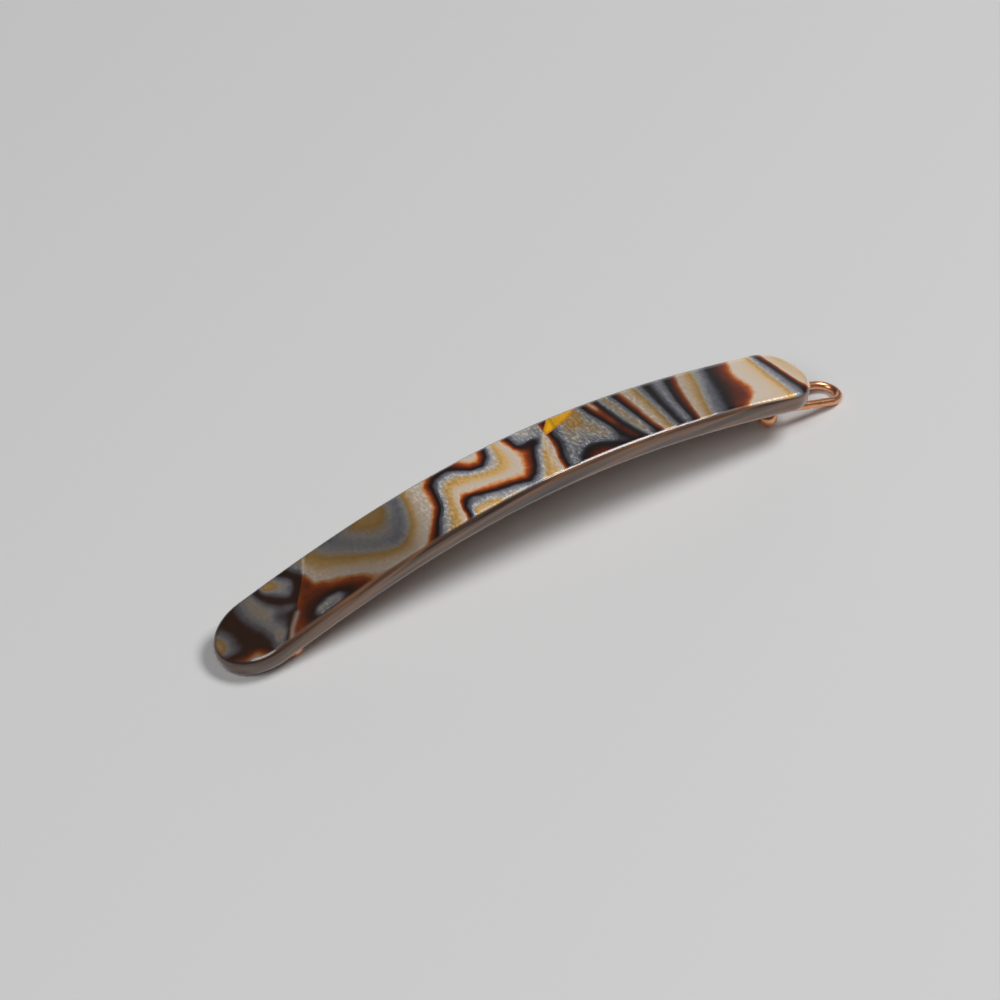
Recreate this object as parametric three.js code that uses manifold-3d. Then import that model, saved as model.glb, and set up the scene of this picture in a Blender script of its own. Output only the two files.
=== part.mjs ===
// Wire-and-ball barrette: an arched acetate bar with a sprung wire loop hinged under one end and
// latched behind a ball stud under the other. Millimetres, +Z up. +X runs from the hinge end to the
// loop end, +Y across the bar. The barrette stands on a table as it rests: on the lower edge of its
// hinge end and on the nose of the wire loop. The origin is at the bottom centre of its box.

import * as THREE from 'three';
import { mergeVertices } from 'three/addons/utils/BufferGeometryUtils.js';
import Module from 'manifold-3d';

const wasm = await Module();
wasm.setup();

// ---- Driving dimensions -------------------------------------------------------------------------

// The bar: a strip of sheet acetate, bent lengthwise.
const BAR_LENGTH = 100; // along the curved top face
const BAR_WIDTH = 11.5;
const BAR_THICKNESS = 3.2;
const BAR_END_SLOPE = 0.27; // radians that the top face has fallen by at each end
const BAR_SLOPE_EASE = 0.5; // how far the bend fades out towards the ends
const HINGE_END_ROUND = 7; // length of each half-oval end
const LOOP_END_ROUND = 5;
const EDGE_RADIUS = 1; // polished edges, all round

// The wire loop, a hairpin. It hangs below the underside by its drop, and ends in a free nose.
const WIRE_RADIUS = 0.6;
const HINGE_S = -40.6; // where its pivot lies along the bar
const PIVOT_DROP = 1.7;
const PIVOT_LEG_OFFSET = 2.3; // centre of each leg from the middle plane, at the hinge
const BEND_RADIUS = 0.75; // where each leg turns out into the hinge
const TURNED_END_Y = 3.9;
const LATCH_S = 48; // just past the ball; from here the loop dips away from the bar
const LATCH_DROP = 1.8;
const NOSE_LEG_OFFSET = 2.2; // the legs pass either side of the ball
const NOSE_S = 57.8; // the tip of the round nose
const NOSE_DROP = 2.6;
const NOSE_ROUND = 2.6; // length of the half-oval nose

// The hinge bracket, a channel folded from strip, with an ear outside each leg.
const STRIP_THICKNESS = 0.5;
const EAR_INNER_Y = PIVOT_LEG_OFFSET + BEND_RADIUS + 0.05;
const EAR_RADIUS = 1; // round the pivot
const EAR_SHOULDER = 1; // how far the ears come down before they narrow
const EAR_LEAN = 0.3; // radians by which the narrowing sides meet the lobe
const FOLD_RADIUS = 0.2; // inside the folds
const BRACKET_BACK = -3.1; // ends of the bracket, along the bar from its pivot
const BRACKET_FRONT = 1.5;
const PIVOT_HOLE_RADIUS = WIRE_RADIUS + 0.08;
const RIVET_PLACES = [-2, 0.4]; // along the bar from the pivot
const RIVET_SHANK_RADIUS = 0.6;
const RIVET_HEAD_RADIUS = 0.95;
const RIVET_HEAD_HEIGHT = 0.4;

// The ball stud.
const STUD_SEAT_S = 45.5;
const BALL_RADIUS = 1.5;
const BALL_DROP = 4.3; // ball centre below the underside
const NECK_RADIUS = 0.7;
const COLLAR_RADIUS = 1.6;
const COLLAR_HEIGHT = 0.45;

// Fits.
const SHANK_DEPTH = 2; // how far the rivets and the stud go into the bar
const HOLE_CLEARANCE = 0.1; // radial, and at the bottom of the blind holes
const SEAT_GAP = 0.05; // between parts that rest on each other
const PLATE_GAP = 0.1; // between the bracket's flat base and the arched underside
const CUTTER_REACH = 3; // how far a hole's cutting pin stands out of the bar
const WELD_DISTANCE = 1e-5; // vertices closer than this are one vertex

// Facets.
const END_STEPS = 8; // per quarter of an end outline
const SIDE_STEPS = 24; // along each straight side
const EDGE_STEPS = 4; // per rounded edge
const CHORDS = 60; // short chords that add up to the bar's curve
const WIRE_SIDES = 12;
const LEG_STEPS = 22;
const DIP_STEPS = 4; // from the latch to the start of the nose
const BEND_STEPS = 6;
const NOSE_STEPS = 8; // per half of the nose
const FOLD_STEPS = 4;
const DOME_STEPS = 4;
const BALL_STEPS = 9;
const ROUND_SIDES = 20; // rivets, stud and their holes
const QUARTER = Math.PI / 2;

// ---- Bar curve ----------------------------------------------------------------------------------

// Downward slope of the top face at arc length s from its middle.
function barSlope(s) {
  const t = s / (BAR_LENGTH / 2);
  return BAR_END_SLOPE * ((1 + BAR_SLOPE_EASE) * t - BAR_SLOPE_EASE * t ** 3);
}

// Point on the top face's middle line, by summing short chords from the middle of the bar.
function barCrest(s) {
  const chord = s / CHORDS;
  let x = 0;
  let z = 0;
  for (let i = 0; i < CHORDS; i += 1) {
    const slope = barSlope((i + 0.5) * chord);
    x += chord * Math.cos(slope);
    z -= chord * Math.sin(slope);
  }
  return new THREE.Vector3(x, 0, z);
}

// Point of the bar at arc length s, across by y and down through the thickness by depth.
function barPoint(s, y, depth) {
  const slope = barSlope(s);
  const crest = barCrest(s);
  return new THREE.Vector3(crest.x - depth * Math.sin(slope), y, crest.z - depth * Math.cos(slope));
}

// Placement of a part on the underside at s: local +Z points down out of the bar, +X along it.
function undersideSeat(s) {
  const turn = new THREE.Quaternion().setFromEuler(new THREE.Euler(Math.PI, barSlope(s), 0, 'YXZ'));
  const foot = barPoint(s, 0, BAR_THICKNESS);
  return new THREE.Matrix4().compose(foot, turn, new THREE.Vector3(1, 1, 1));
}

// ---- Mesh helpers -------------------------------------------------------------------------------

// Closed skin through rings of equal length. Each ring starts on the middle plane and its second
// half mirrors its first, so an end is closed by strips that join mirrored points.
function loft(rings) {
  const count = rings[0].length;
  const half = count / 2;
  const positions = rings.flat().flatMap((p) => p.toArray());
  const index = [];
  const last = (rings.length - 1) * count;
  for (let r = 0; r < rings.length - 1; r += 1) {
    for (let i = 0; i < count; i += 1) {
      const a = r * count + i;
      const b = r * count + ((i + 1) % count);
      index.push(a, b, a + count, b, b + count, a + count);
    }
  }
  for (let i = 0; i < half; i += 1) {
    const quad = [i, i + 1, (count - i - 1) % count, (count - i) % count];
    for (const [base, order] of [[0, [0, 2, 1, 0, 3, 2]], [last, [0, 1, 2, 0, 2, 3]]]) {
      for (let k = 0; k < 6; k += 3) {
        const tri = [quad[order[k]], quad[order[k + 1]], quad[order[k + 2]]];
        if (new Set(tri).size === 3) index.push(...tri.map((v) => base + v));
      }
    }
  }
  const geometry = new THREE.BufferGeometry();
  geometry.setAttribute('position', new THREE.Float32BufferAttribute(positions, 3));
  geometry.setIndex(index);
  return geometry;
}

// Solid of revolution about local Z from [radius, height] points that start and end on the axis.
function turned(profile) {
  const points = profile.map(([radius, height]) => new THREE.Vector2(radius, height));
  return new THREE.LatheGeometry(points, ROUND_SIDES).rotateX(QUARTER);
}

// Pin that cuts a hole from below the underside down to SHANK_DEPTH inside the bar.
function holeCutter(shankRadius, seat, x = 0) {
  const radius = shankRadius + HOLE_CLEARANCE;
  const depth = SHANK_DEPTH + HOLE_CLEARANCE;
  const pin = new THREE.CylinderGeometry(radius, radius, depth + CUTTER_REACH, ROUND_SIDES);
  pin.rotateX(QUARTER).translate(x, 0, (CUTTER_REACH - depth) / 2);
  return pin.applyMatrix4(seat);
}

function toManifold(geometry) {
  const bare = geometry.clone();
  bare.deleteAttribute('normal');
  bare.deleteAttribute('uv');
  const merged = mergeVertices(bare, WELD_DISTANCE);
  return new wasm.Manifold(new wasm.Mesh({
    numProp: 3,
    vertProperties: new Float32Array(merged.attributes.position.array),
    triVerts: new Uint32Array(merged.index.array),
  }));
}

function fromManifold(solid) {
  const mesh = solid.getMesh();
  const geometry = new THREE.BufferGeometry();
  geometry.setAttribute('position', new THREE.BufferAttribute(mesh.vertProperties, 3));
  geometry.setIndex(new THREE.BufferAttribute(mesh.triVerts, 1));
  return geometry;
}

function subtract(geometry, cutters) {
  const solid = cutters.reduce((rest, cutter) => rest.subtract(toManifold(cutter)), toManifold(geometry));
  return fromManifold(solid);
}

// ---- Bar ----------------------------------------------------------------------------------------

// Outline of the bar pulled in by inset, at one depth, from the loop end round and back to it.
function barRing(inset, depth) {
  const loopStraight = BAR_LENGTH / 2 - LOOP_END_ROUND;
  const hingeStraight = HINGE_END_ROUND - BAR_LENGTH / 2;
  const halfWidth = BAR_WIDTH / 2 - inset;
  const half = [];
  for (let i = 0; i < END_STEPS; i += 1) {
    const angle = (i / END_STEPS) * QUARTER;
    half.push([loopStraight + (LOOP_END_ROUND - inset) * Math.cos(angle), halfWidth * Math.sin(angle)]);
  }
  for (let i = 0; i <= SIDE_STEPS; i += 1) {
    half.push([THREE.MathUtils.lerp(loopStraight, hingeStraight, i / SIDE_STEPS), halfWidth]);
  }
  for (let i = END_STEPS - 1; i >= 0; i -= 1) {
    const angle = (i / END_STEPS) * QUARTER;
    half.push([hingeStraight - (HINGE_END_ROUND - inset) * Math.cos(angle), halfWidth * Math.sin(angle)]);
  }
  const mirrored = half.slice(1, -1).reverse().map(([s, y]) => [s, -y]);
  return [...half, ...mirrored].map(([s, y]) => barPoint(s, y, depth));
}

function barGeometry() {
  const rings = [];
  for (let i = 0; i <= EDGE_STEPS; i += 1) {
    const angle = (i / EDGE_STEPS) * QUARTER;
    rings.push(barRing(EDGE_RADIUS * (1 - Math.sin(angle)), EDGE_RADIUS * (1 - Math.cos(angle))));
  }
  for (let i = EDGE_STEPS; i >= 0; i -= 1) {
    const angle = (i / EDGE_STEPS) * QUARTER;
    const depth = BAR_THICKNESS - EDGE_RADIUS * (1 - Math.cos(angle));
    rings.push(barRing(EDGE_RADIUS * (1 - Math.sin(angle)), depth));
  }
  const bracketSeat = undersideSeat(HINGE_S);
  return subtract(loft(rings.reverse()), [
    holeCutter(NECK_RADIUS, undersideSeat(STUD_SEAT_S)),
    ...RIVET_PLACES.map((x) => holeCutter(RIVET_SHANK_RADIUS, bracketSeat, x)),
  ]);
}

// ---- Wire loop ----------------------------------------------------------------------------------

// How far the wire's centre line hangs below the underside at s.
function wireDrop(s) {
  if (s < LATCH_S) return THREE.MathUtils.mapLinear(s, HINGE_S, LATCH_S, PIVOT_DROP, LATCH_DROP);
  return THREE.MathUtils.mapLinear(s, LATCH_S, NOSE_S, LATCH_DROP, NOSE_DROP);
}

// The wire's centre line, from one turned-out end, in to the leg, round the nose and back.
function wirePath() {
  const bendY = PIVOT_LEG_OFFSET + BEND_RADIUS;
  const legStart = HINGE_S + BEND_RADIUS;
  const noseStart = NOSE_S - NOSE_ROUND;
  const places = [[HINGE_S, TURNED_END_Y]];
  for (let i = 0; i <= BEND_STEPS; i += 1) {
    const angle = (i / BEND_STEPS) * QUARTER;
    places.push([HINGE_S + BEND_RADIUS * (1 - Math.cos(angle)), bendY - BEND_RADIUS * Math.sin(angle)]);
  }
  for (let i = 1; i <= LEG_STEPS; i += 1) {
    const along = i / LEG_STEPS;
    const y = THREE.MathUtils.lerp(PIVOT_LEG_OFFSET, NOSE_LEG_OFFSET, along);
    places.push([THREE.MathUtils.lerp(legStart, LATCH_S, along), y]);
  }
  for (let i = 1; i < DIP_STEPS; i += 1) {
    places.push([THREE.MathUtils.lerp(LATCH_S, noseStart, i / DIP_STEPS), NOSE_LEG_OFFSET]);
  }
  for (let i = 0; i <= NOSE_STEPS; i += 1) {
    const angle = (i / NOSE_STEPS) * QUARTER;
    places.push([noseStart + NOSE_ROUND * Math.sin(angle), NOSE_LEG_OFFSET * Math.cos(angle)]);
  }
  const half = places.map(([s, y]) => barPoint(s, y, BAR_THICKNESS + wireDrop(s)));
  const mirrored = half.slice(0, -1).reverse().map((p) => p.clone().setY(-p.y));
  return [...half, ...mirrored];
}

function wireGeometry() {
  const path = wirePath();
  const up = new THREE.Vector3(0, 0, 1);
  const rings = path.map((centre, i) => {
    const before = path[Math.max(i - 1, 0)];
    const after = path[Math.min(i + 1, path.length - 1)];
    const back = centre.clone().sub(before).normalize();
    const tangent = after.clone().sub(centre).normalize().add(back).normalize();
    const side = new THREE.Vector3().crossVectors(up, tangent).normalize();
    const lift = new THREE.Vector3().crossVectors(tangent, side);
    return Array.from({ length: WIRE_SIDES }, (_, k) => {
      const angle = (k / WIRE_SIDES) * 2 * Math.PI;
      return centre.clone()
        .addScaledVector(side, WIRE_RADIUS * Math.cos(angle))
        .addScaledVector(lift, WIRE_RADIUS * Math.sin(angle));
    });
  });
  return loft(rings);
}

// ---- Hinge --------------------------------------------------------------------------------------

// The channel's cross-section, base up against the bar and an ear down each side.
function channelSection() {
  const inner = EAR_INNER_Y;
  const outer = EAR_INNER_Y + STRIP_THICKNESS;
  const foot = PIVOT_DROP + EAR_RADIUS;
  const foldOuter = FOLD_RADIUS + STRIP_THICKNESS;
  const foldY = inner - FOLD_RADIUS;
  const foldZ = PLATE_GAP + foldOuter;
  const section = new THREE.Shape();
  section.moveTo(inner, foot);
  section.lineTo(outer, foot);
  section.absarc(foldY, foldZ, foldOuter, 0, -QUARTER, true);
  section.absarc(-foldY, foldZ, foldOuter, -QUARTER, -Math.PI, true);
  section.lineTo(-outer, foot);
  section.lineTo(-inner, foot);
  section.absarc(-foldY, foldZ, FOLD_RADIUS, -Math.PI, -QUARTER, false);
  section.absarc(foldY, foldZ, FOLD_RADIUS, -QUARTER, 0, false);
  section.closePath();
  return section;
}

// Side view of the bracket: each ear narrows from the base to a round lobe about the pivot.
function earOutline() {
  const above = -EAR_SHOULDER;
  const outline = new THREE.Shape();
  outline.moveTo(BRACKET_BACK, above);
  outline.lineTo(BRACKET_FRONT, above);
  outline.lineTo(BRACKET_FRONT, EAR_SHOULDER);
  outline.absarc(0, PIVOT_DROP, EAR_RADIUS, -EAR_LEAN, Math.PI - 2 * EAR_LEAN, false);
  outline.lineTo(BRACKET_BACK, EAR_SHOULDER);
  outline.closePath();
  return outline;
}

function bracketGeometry() {
  const settings = { curveSegments: FOLD_STEPS, bevelEnabled: false };
  // The section is drawn in Y and Z, and extruded along X.
  const length = BRACKET_FRONT - BRACKET_BACK;
  const channel = new THREE.ExtrudeGeometry(channelSection(), { depth: length, ...settings });
  channel.applyMatrix4(new THREE.Matrix4().makeBasis(
    new THREE.Vector3(0, 1, 0), new THREE.Vector3(0, 0, 1), new THREE.Vector3(1, 0, 0)));
  channel.translate(BRACKET_BACK, 0, 0);
  // The outline is drawn in X and Z, and extruded across the whole channel along Y.
  const span = 2 * (EAR_INNER_Y + STRIP_THICKNESS + CUTTER_REACH);
  const trim = new THREE.ExtrudeGeometry(earOutline(), { depth: span, ...settings });
  trim.rotateX(QUARTER).translate(0, span / 2, 0);
  const pivotHole = new THREE.CylinderGeometry(PIVOT_HOLE_RADIUS, PIVOT_HOLE_RADIUS, span, ROUND_SIDES);
  pivotHole.translate(0, 0, PIVOT_DROP);
  const level = new THREE.Matrix4();
  const shaped = fromManifold(toManifold(channel).intersect(toManifold(trim)));
  return subtract(shaped, [
    pivotHole,
    ...RIVET_PLACES.map((x) => holeCutter(RIVET_SHANK_RADIUS, level, x)),
  ]);
}

// Rivet: a plain shank in the bar, through the plate, with a low domed head under it.
function rivetGeometry() {
  const headBase = PLATE_GAP + STRIP_THICKNESS + SEAT_GAP;
  const profile = [[0, -SHANK_DEPTH], [RIVET_SHANK_RADIUS, -SHANK_DEPTH], [RIVET_SHANK_RADIUS, headBase]];
  for (let i = 0; i <= DOME_STEPS; i += 1) {
    const angle = (i / DOME_STEPS) * QUARTER;
    const radius = i < DOME_STEPS ? RIVET_HEAD_RADIUS * Math.cos(angle) : 0;
    profile.push([radius, headBase + RIVET_HEAD_HEIGHT * Math.sin(angle)]);
  }
  return turned(profile);
}

// ---- Ball stud ----------------------------------------------------------------------------------

// A shank in the bar, a collar against the underside, a neck and the ball.
function studGeometry() {
  const joinAngle = Math.asin(NECK_RADIUS / BALL_RADIUS); // where the neck meets the ball
  const collarEnd = SEAT_GAP + COLLAR_HEIGHT;
  const profile = [
    [0, -SHANK_DEPTH],
    [NECK_RADIUS, -SHANK_DEPTH],
    [NECK_RADIUS, SEAT_GAP],
    [COLLAR_RADIUS, SEAT_GAP],
    [COLLAR_RADIUS, SEAT_GAP + COLLAR_HEIGHT / 2],
    [COLLAR_RADIUS - COLLAR_HEIGHT / 2, collarEnd],
    [NECK_RADIUS, collarEnd],
  ];
  for (let i = 0; i <= BALL_STEPS; i += 1) {
    const angle = joinAngle + (Math.PI - joinAngle) * (i / BALL_STEPS);
    const radius = i < BALL_STEPS ? BALL_RADIUS * Math.sin(angle) : 0;
    profile.push([radius, BALL_DROP - BALL_RADIUS * Math.cos(angle)]);
  }
  return turned(profile);
}

// ---- Assembly -----------------------------------------------------------------------------------

const acetate = () => new THREE.MeshStandardMaterial({ color: 0x8a6a4c, roughness: 0.12, metalness: 0 });
const roseGold = () => new THREE.MeshStandardMaterial({ color: 0xc98a62, roughness: 0.25, metalness: 1 });

function piece(name, geometry, material) {
  const mesh = new THREE.Mesh(geometry, material);
  mesh.name = name;
  return mesh;
}

// The tilt at which the hinge end's rounded lower edge and the loop's nose both touch the table.
function restTilt() {
  const heel = barPoint(-BAR_LENGTH / 2 + EDGE_RADIUS, 0, BAR_THICKNESS - EDGE_RADIUS);
  const tip = barPoint(NOSE_S, 0, BAR_THICKNESS + NOSE_DROP);
  const level = Math.atan2(heel.z - tip.z, tip.x - heel.x); // this would put both centres level
  return level - Math.asin((EDGE_RADIUS - WIRE_RADIUS) / heel.distanceTo(tip));
}

function assemble() {
  const tilted = new THREE.Group();
  tilted.add(piece('bar', barGeometry(), acetate()));
  tilted.add(piece('wire_loop', wireGeometry(), roseGold()));

  const hinge = new THREE.Group();
  hinge.applyMatrix4(undersideSeat(HINGE_S));
  hinge.add(piece('hinge_bracket', bracketGeometry(), roseGold()));
  RIVET_PLACES.forEach((x, i) => {
    const rivet = piece(`hinge_rivet_${i + 1}`, rivetGeometry(), roseGold());
    rivet.position.x = x;
    hinge.add(rivet);
  });
  tilted.add(hinge);

  const stud = piece('ball_stud', studGeometry(), roseGold());
  stud.applyMatrix4(undersideSeat(STUD_SEAT_S));
  tilted.add(stud);

  tilted.rotation.y = -restTilt();
  const box = new THREE.Box3().setFromObject(tilted, true);
  tilted.position.set(-(box.min.x + box.max.x) / 2, 0, -box.min.z);

  const barrette = new THREE.Group();
  barrette.add(tilted);
  return barrette;
}

export default assemble();
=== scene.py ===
# Wire-and-ball barrette in marbled pearl acetate and rose-gold wire: the detailed visual model.
# The frame holds the CAD parts. Every one is replaced here by a finer mesh of the same shape.
# Lengths along the bar, across it and down through it are in millimetres until mesh_object().

import math

import bmesh
import bpy
import numpy as np
from mathutils import Euler, Matrix, Vector


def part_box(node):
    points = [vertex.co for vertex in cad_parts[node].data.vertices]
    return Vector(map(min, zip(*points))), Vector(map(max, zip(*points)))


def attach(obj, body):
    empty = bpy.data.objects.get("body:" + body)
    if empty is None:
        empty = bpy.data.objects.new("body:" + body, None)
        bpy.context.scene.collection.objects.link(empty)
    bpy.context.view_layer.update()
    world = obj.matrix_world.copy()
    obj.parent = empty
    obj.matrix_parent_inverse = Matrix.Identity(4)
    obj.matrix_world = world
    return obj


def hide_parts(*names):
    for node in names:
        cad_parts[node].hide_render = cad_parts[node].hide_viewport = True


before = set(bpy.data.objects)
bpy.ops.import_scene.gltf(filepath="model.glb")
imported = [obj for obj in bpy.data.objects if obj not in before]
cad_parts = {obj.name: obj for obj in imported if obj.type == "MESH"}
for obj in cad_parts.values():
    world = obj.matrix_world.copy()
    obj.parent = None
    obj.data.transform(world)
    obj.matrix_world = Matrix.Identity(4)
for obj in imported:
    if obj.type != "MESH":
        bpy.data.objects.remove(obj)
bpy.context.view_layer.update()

MM = 0.001

# ---- Dimensions of the CAD model, in millimetres and radians ---------------------------------------

BAR_LENGTH = 100
BAR_WIDTH = 11.5
BAR_THICKNESS = 3.2
BAR_END_SLOPE = 0.27
BAR_SLOPE_EASE = 0.5
HINGE_END_ROUND = 7
LOOP_END_ROUND = 5
EDGE_RADIUS = 1

WIRE_RADIUS = 0.6
HINGE_S = -40.6
PIVOT_DROP = 1.7
PIVOT_LEG_OFFSET = 2.3
BEND_RADIUS = 0.75
TURNED_END_Y = 3.9
LATCH_S = 48
LATCH_DROP = 1.8
NOSE_LEG_OFFSET = 2.2
NOSE_S = 57.8
NOSE_DROP = 2.6
NOSE_ROUND = 2.6

STRIP_THICKNESS = 0.5
EAR_INNER_Y = PIVOT_LEG_OFFSET + BEND_RADIUS + 0.05
EAR_RADIUS = 1
EAR_SHOULDER = 1
EAR_LEAN = 0.3
FOLD_RADIUS = 0.2
BRACKET_BACK = -3.1
BRACKET_FRONT = 1.5
PIVOT_HOLE_RADIUS = WIRE_RADIUS + 0.08
PLATE_GAP = 0.1
SEAT_GAP = 0.05
RIVET_PLACES = (-2, 0.4)
RIVET_HEAD_RADIUS = 0.95
RIVET_HEAD_HEIGHT = 0.4
SHANK_RADIUS = 0.6
SHANK_DEPTH = 2
HOLE_CLEARANCE = 0.1

STUD_SEAT_S = 45.5
BALL_RADIUS = 1.5
BALL_DROP = 4.3
NECK_RADIUS = 0.7
COLLAR_RADIUS = 1.6
COLLAR_HEIGHT = 0.45

# Small roundings of the finer meshes, and the angles where the bracket is softened and creased.
WIRE_END_ROUND = 0.2
SHANK_CHAMFER = 0.15
RIVET_RIM = 0.12
RIVET_SOFTENING = 0.05
STUD_SOFTENING = 0.12
COLLAR_ROUND = 0.25
BRACKET_SOFTENING = 0.07
BRACKET_SHARPEST = math.radians(50)
BRACKET_CREASE = math.radians(35)

# Roughness of each metal piece, and how fine its clouding is.
WIRE_ROUGHNESS = 0.32
STUD_ROUGHNESS = 0.28
FITTING_ROUGHNESS = 0.22
WIRE_CLOUD = 900
FITTING_CLOUD = 700


# ---- Bar curve ---------------------------------------------------------------------------------------

def bar_slope(s):
    t = np.asarray(s, float) / (BAR_LENGTH / 2)
    return BAR_END_SLOPE * ((1 + BAR_SLOPE_EASE) * t - BAR_SLOPE_EASE * t ** 3)


def bar_point(s, y, depth):
    """Points at arc length s, across by y and down through the thickness by depth."""
    s, y, depth = np.broadcast_arrays(np.asarray(s, float), y, depth)
    chords = 60
    middles = (np.arange(chords) + 0.5) / chords
    slopes = bar_slope(s[..., None] * middles)
    x = s * np.cos(slopes).mean(-1)
    z = -s * np.sin(slopes).mean(-1)
    slope = bar_slope(s)
    return np.stack([x - depth * np.sin(slope), y, z - depth * np.cos(slope)], -1)


def rest_matrix():
    """From the bar's own frame to the row's: the rest tilt, then the bar's box on the CAD bar's box."""
    heel = bar_point(-BAR_LENGTH / 2 + EDGE_RADIUS, 0, BAR_THICKNESS - EDGE_RADIUS)
    tip = bar_point(NOSE_S, 0, BAR_THICKNESS + NOSE_DROP)
    level = math.atan2(heel[2] - tip[2], tip[0] - heel[0])
    lean = math.asin((EDGE_RADIUS - WIRE_RADIUS) / np.linalg.norm(tip - heel))
    tilt = Matrix.Rotation(lean - level, 4, "Y")
    wall_depths = (EDGE_RADIUS, BAR_THICKNESS - EDGE_RADIUS)
    outline = np.concatenate([outline_points(0, depth) for depth in wall_depths])
    crest = bar_point(np.linspace(-BAR_LENGTH / 2, BAR_LENGTH / 2, 201), 0, 0)
    turned = np.array([tilt @ Vector(p) for p in outline])
    top = np.array([tilt @ Vector(p) for p in crest])
    low, high = (np.array(corner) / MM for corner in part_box("bar"))
    shift_x = (low[0] + high[0] - turned[:, 0].min() - turned[:, 0].max()) / 2
    shift_z = high[2] - top[:, 2].max()
    return Matrix.Translation((shift_x, 0, shift_z)) @ tilt


def underside_seat(s):
    """Placement of a part on the underside at s: local +Z points down out of the bar, +X along it."""
    turn = Euler((math.pi, 0, 0)).to_matrix().to_4x4()
    lean = Matrix.Rotation(float(bar_slope(s)), 4, "Y")
    return Matrix.Translation(Vector(bar_point(s, 0, BAR_THICKNESS))) @ lean @ turn


# ---- Mesh helpers ------------------------------------------------------------------------------------

def mesh_object(name, points, faces, matrix):
    mesh = bpy.data.meshes.new(name)
    mesh.from_pydata([tuple(matrix @ Vector(p) * MM) for p in points], [], faces)
    mesh.validate()
    tidy = bmesh.new()
    tidy.from_mesh(mesh)
    bmesh.ops.recalc_face_normals(tidy, faces=tidy.faces)
    tidy.to_mesh(mesh)
    tidy.free()
    for face in mesh.polygons:
        face.use_smooth = True
    piece = bpy.data.objects.new(name, mesh)
    bpy.context.scene.collection.objects.link(piece)
    return piece


def finish_piece(piece, body, node, material):
    piece.data.materials.append(material)
    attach(piece, body)
    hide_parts(node)
    return piece


def strip_faces(first, second, closed):
    """Quads between two equal rows of vertex numbers."""
    count = len(first)
    steps = range(count if closed else count - 1)
    return [(first[i], first[(i + 1) % count], second[(i + 1) % count], second[i]) for i in steps]


def turned_piece(name, profile, matrix, sides=48):
    """Solid of revolution about local Z from (radius, height) points between two points on the axis."""
    inner = profile[1:-1]
    angles = 2 * np.pi * np.arange(sides) / sides
    points = [(0, 0, profile[0][1])]
    for radius, height in inner:
        points += [(radius * math.cos(a), radius * math.sin(a), height) for a in angles]
    points.append((0, 0, profile[-1][1]))
    rows = [[1 + r * sides + k for k in range(sides)] for r in range(len(inner))]
    faces = [face for a, b in zip(rows, rows[1:]) for face in strip_faces(a, b, True)]
    last = len(points) - 1
    faces += [(0, rows[0][k], rows[0][(k + 1) % sides]) for k in range(sides)]
    faces += [(last, rows[-1][(k + 1) % sides], rows[-1][k]) for k in range(sides)]
    return mesh_object(name, points, faces, matrix)


def arc(centre, radius, start, end, steps):
    """Points of an arc in a profile's plane, angles in radians."""
    angles = np.linspace(start, end, steps + 1)
    return [(centre[0] + radius * math.cos(a), centre[1] + radius * math.sin(a)) for a in angles]


# ---- Marbling ----------------------------------------------------------------------------------------
# The sheet's colours repeat along one cycle as it was folded and pressed: cream (0), orange, dark
# brown, black, slate, silver, gold and back to cream (1). Each line below is a level of that cycle,
# followed along the top face by points (s along, y across). Between lines the level runs smoothly.
# Two faults, where the sheet was torn and pressed together again, part it into three regions.

HINGE_FAULT = [(-41.0, -5.4), (-39.8, -3.8), (-38.0, -2.2), (-37.3, -1.0), (-35.5, 0.9),
               (-33.8, 3.0), (-32.2, 5.4)]
MIDDLE_FAULT = [(4.6, -5.4), (4.6, -2.0), (4.6, 0.0), (5.2, 1.6), (6.2, 2.8), (6.6, 5.4)]

HINGE_REGION = [
    (0.78, [(-49.0, 2.0), (-48.8, 0.6)]),
    (0.50, [(-49.9, -0.6), (-48.3, -0.9), (-47.6, 0.8), (-48.0, 2.6), (-49.2, 3.2)]),
    (0.27, [(-46.9, 3.8), (-46.2, 1.5), (-46.0, -1.0)]),
    (0.28, [(-44.9, 3.5), (-44.8, 1.0), (-44.0, -1.8), (-43.8, -3.4)]),
    (0.25, [(-49.6, -1.6), (-47.6, -2.2), (-45.8, -2.2), (-44.6, -3.2)]),
    (0.27, [(-48.7, 3.9), (-46.5, 4.9), (-44.6, 5.0)]),
    (0.10, [(-49.2, -2.8), (-47.2, -3.3), (-45.6, -3.3), (-44.8, -4.2)]),
    (0.00, [(-48.3, -3.8), (-46.9, -4.2), (-45.8, -4.8)]),
    (0.42, [(-43.9, 4.6), (-44.2, 2.6), (-43.6, 0.5), (-42.9, -1.2), (-42.7, -3.1), (-43.1, -4.6)]),
    (0.55, [(-42.9, 4.3), (-43.0, 1.9), (-42.2, -0.6), (-41.8, -2.4)]),
    (0.62, [(-42.0, -4.0), (-41.3, -3.7)]),
    (0.56, [(-41.6, 4.6), (-41.3, 2.2), (-40.6, 0.6)]),
    (0.36, [(-40.3, -0.8), (-40.0, -2.0), (-40.5, -3.6)]),
    (0.27, [(-40.5, 4.9), (-40.1, 2.7), (-38.8, 0.8), (-37.4, 0.2), (-36.1, 1.0), (-35.2, 2.7),
            (-35.5, 3.8), (-36.6, 5.0)]),
    (0.50, [(-38.7, 3.0), (-37.4, 1.7), (-36.3, 3.0), (-37.1, 4.3)]),
    (0.76, [(-39.3, 4.4), (-38.6, 4.1)]),
    (0.40, [(-39.4, 0.0), (-38.2, -0.7)]),
    (0.28, [(-38.8, -1.6), (-39.7, -2.8), (-41.2, -4.7)]),
    (0.26, [(-36.4, -0.1), (-35.0, 1.6)]),
    (0.50, [(-34.5, 4.7), (-33.9, 3.8)]),
]

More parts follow.
